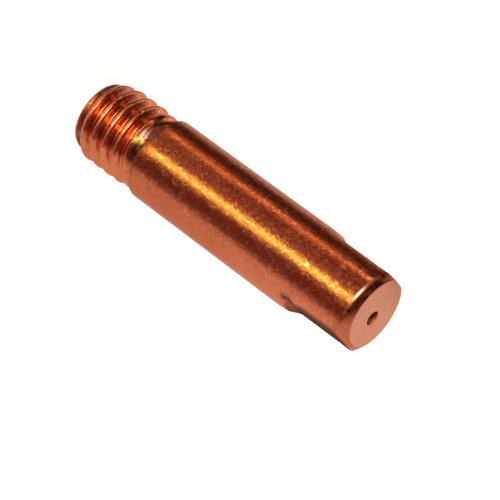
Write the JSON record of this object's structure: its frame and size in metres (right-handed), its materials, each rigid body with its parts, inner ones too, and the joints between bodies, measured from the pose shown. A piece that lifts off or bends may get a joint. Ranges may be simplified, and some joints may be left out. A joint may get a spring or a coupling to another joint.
{
  "type": "welding contact tip",
  "caption": "Copper contact tip for a wire-feed welding torch: a round body with a screw thread at the rear, spanner flats at the nose and a bore for the wire.",
  "frame": {"origin": "centre of the rear end face, where the wire enters", "axes": "+Z along the wire bore from the threaded rear end to the nose, +X out of the deeper spanner flat"},
  "size_m": [0.006, 0.006, 0.025],
  "materials": {
    "copper": "drawn and turned copper, lightly tarnished"
  },
  "bodies": {
    "root": {"contact_tip": "copper"}
  },
  "joints": []
}
